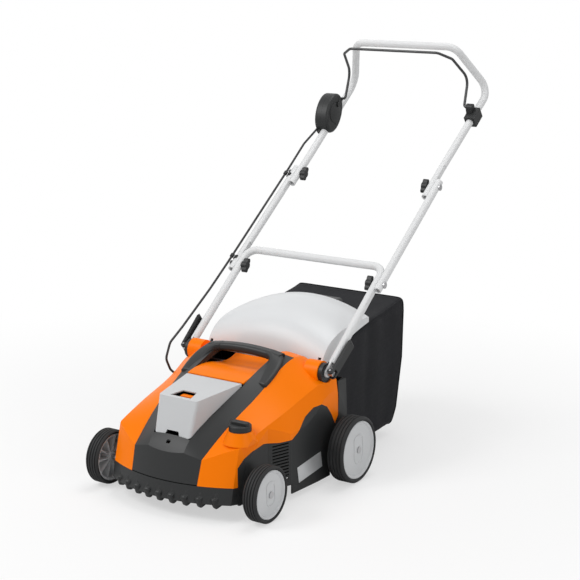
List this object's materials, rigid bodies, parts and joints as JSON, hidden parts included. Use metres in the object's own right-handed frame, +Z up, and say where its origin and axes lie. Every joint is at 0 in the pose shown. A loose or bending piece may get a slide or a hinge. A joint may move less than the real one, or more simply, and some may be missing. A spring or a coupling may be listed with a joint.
{
  "type": "lawn_dethatcher",
  "caption": "Cordless walk-behind lawn dethatcher with a bladed roller, coloured fairings, depth knob, rear grass bag and a three-stage folding handle",
  "frame": {"origin": "on the ground plane, midway between the rear wheels, under the rear axle", "axes": "+Y rearward towards the person pushing, +Z up, +X to the right when seen from the front"},
  "size_m": [0.614, 1.3265, 1.1107],
  "materials": {
    "orange": "satin",
    "black": "matte",
    "rubber": "matte",
    "grey": "matte",
    "hood_grey": "satin",
    "tube": "satin",
    "coated_steel": "satin",
    "steel": "satin",
    "spring_steel": "satin",
    "motor": "satin",
    "belt": "matte",
    "cloth": "matte",
    "cord": "matte",
    "nylon": "matte"
  },
  "bodies": {
    "base": {"chassis": "black", "carry_frame": "black", "fairing_right": "orange", "fairing_left": "orange", "rear_deck": "orange", "nose_guard": "black", "battery_tray": "black", "flap_pin": "steel", "rear_axle": "steel", "rear_wheel_caps": "steel", "roller_bearings": "steel", "motor_case": "motor", "hood_pin": "steel", "pivot_discs": "black", "clamp_bolts": "steel", "cable_lower": "cord", "drive_belt": "belt"},
    "wheel_rear_right": {"tyre_rear_right": "rubber", "hub_rear_right": "grey"},
    "wheel_rear_left": {"tyre_rear_left": "rubber", "hub_rear_left": "grey"},
    "front_crank": {"front_axle": "steel", "front_wheel_caps": "steel"},
    "wheel_front_right": {"tyre_front_right": "rubber", "hub_front_right": "grey"},
    "wheel_front_left": {"tyre_front_left": "rubber", "hub_front_left": "grey"},
    "depth_control": {"depth_knob": "black", "depth_screw": "steel"},
    "roller": {"roller_shaft": "steel", "blades": "spring_steel", "spacers": "nylon", "roller_pulley": "nylon"},
    "motor_drive": {"motor_pulley": "nylon"},
    "flap": {"battery_flap": "grey"},
    "battery": {"battery": "black"},
    "hood": {"hood": "hood_grey"},
    "bag": {"bag_frame": "steel", "bag_fabric": "cloth", "bag_handle": "black"},
    "handle_low": {"lower_handle": "tube", "clamp_barrels": "steel", "bolts_lower": "steel"},
    "lever_right": {"clamp_lever_right": "black"},
    "lever_left": {"clamp_lever_left": "black"},
    "handle_mid": {"middle_rails": "tube", "cable_middle": "cord", "cable_clips": "black"},
    "handle_top": {"upper_handle": "tube", "bolts_upper": "steel", "switch_case": "black", "switch_cover": "black", "bail_bracket": "black", "cable_upper": "cord"},
    "knob_low_right": {"wing_knob_lower_right": "black"},
    "knob_low_left": {"wing_knob_lower_left": "black"},
    "knob_top_right": {"wing_knob_upper_right": "black"},
    "knob_top_left": {"wing_knob_upper_left": "black"},
    "bail": {"bail": "coated_steel"},
    "lock_button": {"lock_button": "black"}
  },
  "joints": [
    {"name": "rear_wheel_right_roll", "type": "hinge", "parent": "base", "child": "wheel_rear_right", "pos_m": [0.284, 0, 0.09], "axis": [1, 0, 0], "continuous": true},
    {"name": "rear_wheel_left_roll", "type": "hinge", "parent": "base", "child": "wheel_rear_left", "pos_m": [-0.284, 0, 0.09], "axis": [1, 0, 0], "continuous": true},
    {"name": "depth_swing", "type": "hinge", "parent": "base", "child": "front_crank", "pos_m": [0, -0.296, 0.056], "axis": [1, 0, 0], "range_deg": [0, 12]},
    {"name": "front_wheel_right_roll", "type": "hinge", "parent": "front_crank", "child": "wheel_front_right", "pos_m": [0.252, -0.365, 0.073], "axis": [1, 0, 0], "continuous": true},
    {"name": "front_wheel_left_roll", "type": "hinge", "parent": "front_crank", "child": "wheel_front_left", "pos_m": [-0.252, -0.365, 0.073], "axis": [1, 0, 0], "continuous": true},
    {"name": "depth_knob_turn", "type": "hinge", "parent": "base", "child": "depth_control", "pos_m": [0.165, -0.347, 0.228], "axis": [0, 0, 1], "range_deg": [0, 180]},
    {"name": "roller_spin", "type": "hinge", "parent": "base", "child": "roller", "pos_m": [0, -0.15, 0.078], "axis": [1, 0, 0], "continuous": true},
    {"name": "motor_spin", "type": "hinge", "parent": "base", "child": "motor_drive", "pos_m": [-0.1905, -0.356, 0.1083], "axis": [1, 0, 0], "continuous": true},
    {"name": "flap_open", "type": "hinge", "parent": "base", "child": "flap", "pos_m": [0, -0.237, 0.286], "axis": [-1, 0, 0], "range_deg": [0, 75]},
    {"name": "battery_lift", "type": "slide", "parent": "base", "child": "battery", "axis": [0, 0, 1], "range_m": [0, 0.04]},
    {"name": "hood_open", "type": "hinge", "parent": "base", "child": "hood", "pos_m": [0, 0.006, 0.31], "axis": [1, 0, 0], "range_deg": [0, 27]},
    {"name": "bag_unhook", "type": "slide", "parent": "base", "child": "bag", "axis": [0, 1, 0], "range_m": [0, 0.15]},
    {"name": "handle_base_fold", "type": "hinge", "parent": "base", "child": "handle_low", "pos_m": [0.228, -0.038, 0.3], "axis": [-1, 0, 0], "range_deg": [-110, 0], "deforming": ["cable_lower"]},
    {"name": "clamp_lever_right_open", "type": "hinge", "parent": "handle_low", "child": "lever_right", "pos_m": [0.2415, -0.038, 0.3], "axis": [0, 0.6165, -0.7874], "range_deg": [0, 100]},
    {"name": "clamp_lever_left_open", "type": "hinge", "parent": "handle_low", "child": "lever_left", "pos_m": [-0.2415, -0.038, 0.3], "axis": [0, -0.6165, 0.7874], "range_deg": [0, 100]},
    {"name": "handle_middle_fold", "type": "hinge", "parent": "handle_low", "child": "handle_mid", "pos_m": [0.244, 0.2082, 0.4928], "axis": [1, 0, 0], "range_deg": [0, 140], "deforming": ["cable_middle"]},
    {"name": "handle_upper_fold", "type": "hinge", "parent": "handle_mid", "child": "handle_top", "pos_m": [0.228, 0.5176, 0.7196], "axis": [1, 0, 0], "range_deg": [-120, 0], "deforming": ["cable_upper"]},
    {"name": "wing_knob_lower_right_turn", "type": "hinge", "parent": "handle_low", "child": "knob_low_right", "pos_m": [0.208, 0.2082, 0.4928], "axis": [-1, 0, 0], "continuous": true},
    {"name": "wing_knob_lower_left_turn", "type": "hinge", "parent": "handle_low", "child": "knob_low_left", "pos_m": [-0.208, 0.2082, 0.4928], "axis": [1, 0, 0], "continuous": true},
    {"name": "wing_knob_upper_right_turn", "type": "hinge", "parent": "handle_top", "child": "knob_top_right", "pos_m": [0.208, 0.5176, 0.7196], "axis": [-1, 0, 0], "continuous": true},
    {"name": "wing_knob_upper_left_turn", "type": "hinge", "parent": "handle_top", "child": "knob_top_left", "pos_m": [-0.208, 0.5176, 0.7196], "axis": [1, 0, 0], "continuous": true},
    {"name": "bail_squeeze", "type": "hinge", "parent": "handle_top", "child": "bail", "pos_m": [0, 0.752, 0.925], "axis": [-1, 0, 0], "range_deg": [0, 17], "stiffness_Nm_per_rad": 4, "springref_deg": -8.02},
    {"name": "lock_button_press", "type": "slide", "parent": "handle_top", "child": "lock_button", "axis": [-1, 0, 0], "range_m": [0, 0.003], "stiffness_N_per_m": 900, "springref_m": -0.002}
  ],
  "couplings": [
    {"joint": "depth_knob_turn", "follows": "depth_swing", "ratio": 15},
    {"joint": "motor_spin", "follows": "roller_spin", "ratio": 2},
    {"joint": "battery_lift", "follows": "flap_open", "m_per_rad": 0.03}
  ]
}
